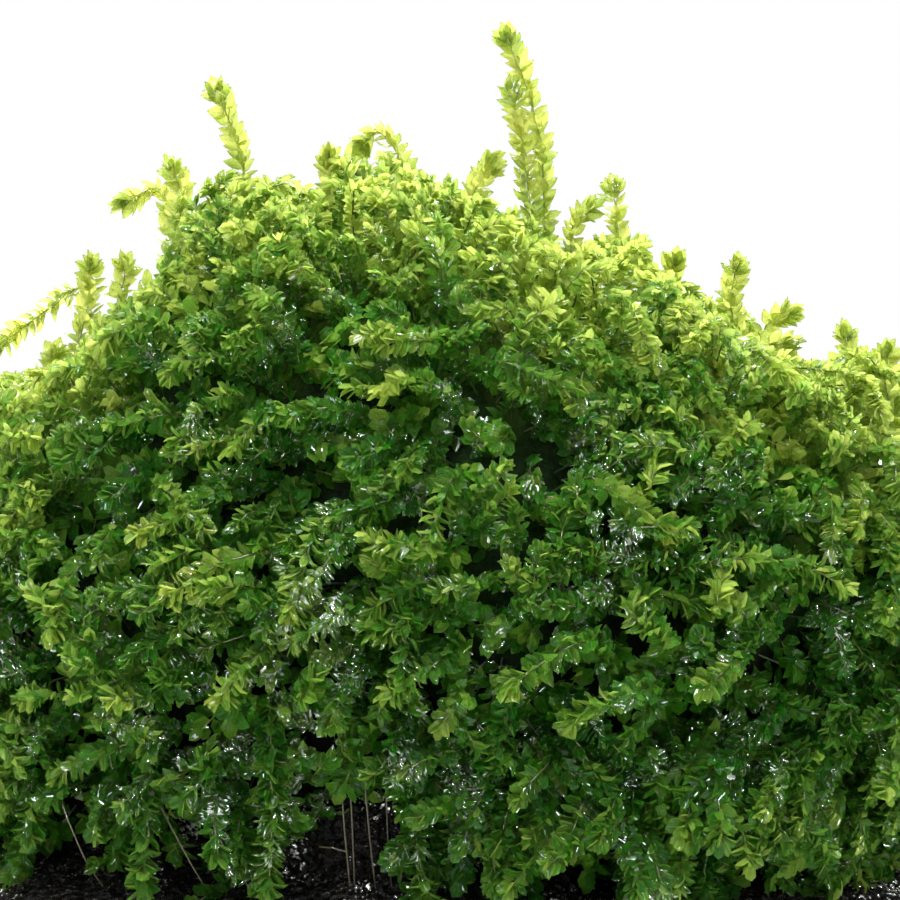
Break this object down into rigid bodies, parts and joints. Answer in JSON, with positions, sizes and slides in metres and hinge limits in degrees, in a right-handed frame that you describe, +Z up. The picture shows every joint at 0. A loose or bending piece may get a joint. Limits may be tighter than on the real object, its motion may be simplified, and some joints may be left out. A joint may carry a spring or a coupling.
{
  "type": "moss clump",
  "caption": "Mound of wet leafy moss with tall shoots on its crown, grown over a dark humus pad and cut off flat underneath to stand on a surface.",
  "frame": {"origin": "middle of the flat cut underside of the humus pad", "axes": "+X to the right and -Y towards the viewer in the pictured view, +Z up through the crown"},
  "size_m": [0.1141, 0.0916, 0.08],
  "materials": {
    "humus": "satin",
    "moss": "satin",
    "young_moss": "satin"
  },
  "bodies": {
    "root": {"humus_pad": "humus", "moss_cushion": "moss", "tall_shoot": "young_moss", "tall_twin_shoot": "young_moss", "left_spire": "young_moss", "left_brow_shoot": "young_moss", "stub_shoot": "young_moss", "arching_shoot": "young_moss", "left_knob": "young_moss", "right_knob": "young_moss", "shoulder_shoot": "young_moss", "crown_hump": "young_moss", "crown_bud": "young_moss", "middle_shoot": "young_moss", "leaning_shoot": "young_moss", "broad_shoot": "young_moss", "low_bud": "young_moss", "right_spire": "young_moss", "upper_arm": "young_moss", "lower_arm": "young_moss", "right_hump_shoot": "young_moss", "right_edge_shoot": "young_moss", "face_shoot_1": "young_moss", "face_shoot_2": "young_moss", "face_shoot_3": "young_moss", "face_shoot_4": "young_moss", "face_shoot_5": "young_moss", "face_shoot_6": "young_moss", "face_shoot_7": "young_moss", "face_shoot_8": "young_moss", "hanging_shoot_1": "young_moss", "hanging_shoot_2": "young_moss", "hanging_shoot_3": "young_moss", "hanging_shoot_4": "young_moss", "hanging_shoot_5": "young_moss", "hanging_shoot_6": "young_moss", "upper_belt_shoot_1": "young_moss", "upper_belt_shoot_2": "young_moss", "upper_belt_shoot_3": "young_moss", "upper_belt_shoot_4": "young_moss", "upper_belt_shoot_5": "young_moss", "lower_belt_shoot_1": "young_moss", "lower_belt_shoot_2": "young_moss", "lower_belt_shoot_3": "young_moss", "lower_belt_shoot_4": "young_moss", "lower_belt_shoot_5": "young_moss", "lower_belt_shoot_6": "young_moss", "lower_belt_shoot_7": "young_moss"}
  },
  "joints": []
}
